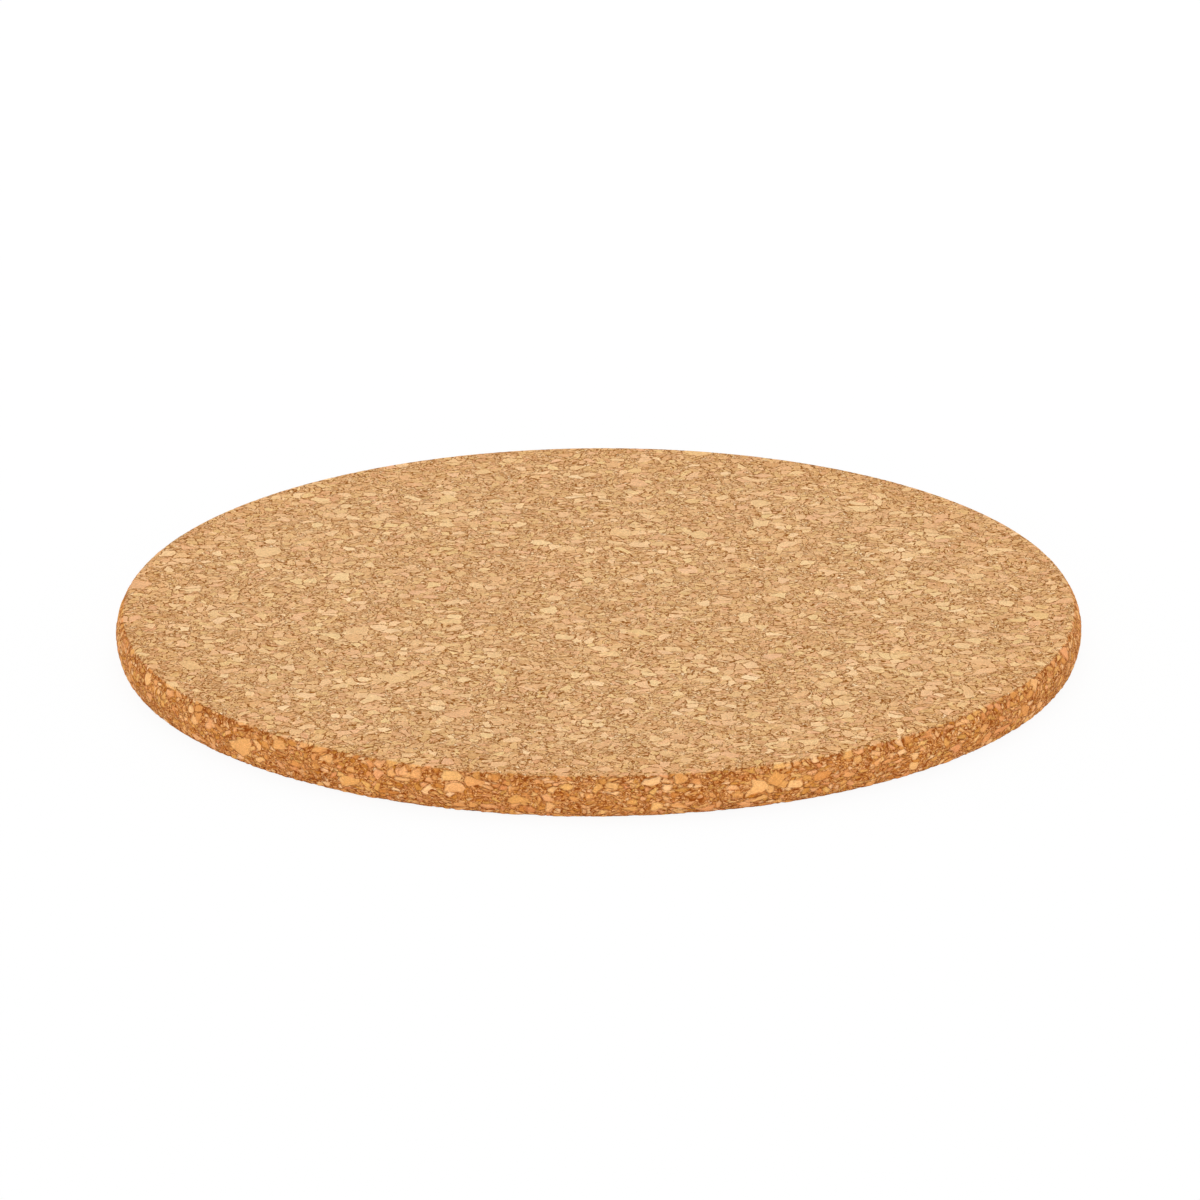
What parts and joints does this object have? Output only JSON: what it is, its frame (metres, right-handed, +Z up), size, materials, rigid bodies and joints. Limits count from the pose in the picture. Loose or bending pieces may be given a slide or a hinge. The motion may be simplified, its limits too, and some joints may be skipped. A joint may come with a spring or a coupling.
{
  "type": "pot coaster",
  "caption": "Flat round pot coaster of pressed cork granules with a bulged side, for standing a hot pot or dish on a table.",
  "frame": {"origin": "centre of the underside, on the surface that the coaster lies on", "axes": "+Z up, along the axis of the disc; the disc is round, so X and Y are any two level directions at right angles"},
  "size_m": [0.19, 0.19, 0.008],
  "materials": {
    "cork": "matt sanded pressed cork, tan with paler and darker granules"
  },
  "bodies": {
    "root": {"cork_disc": "cork"}
  },
  "joints": []
}
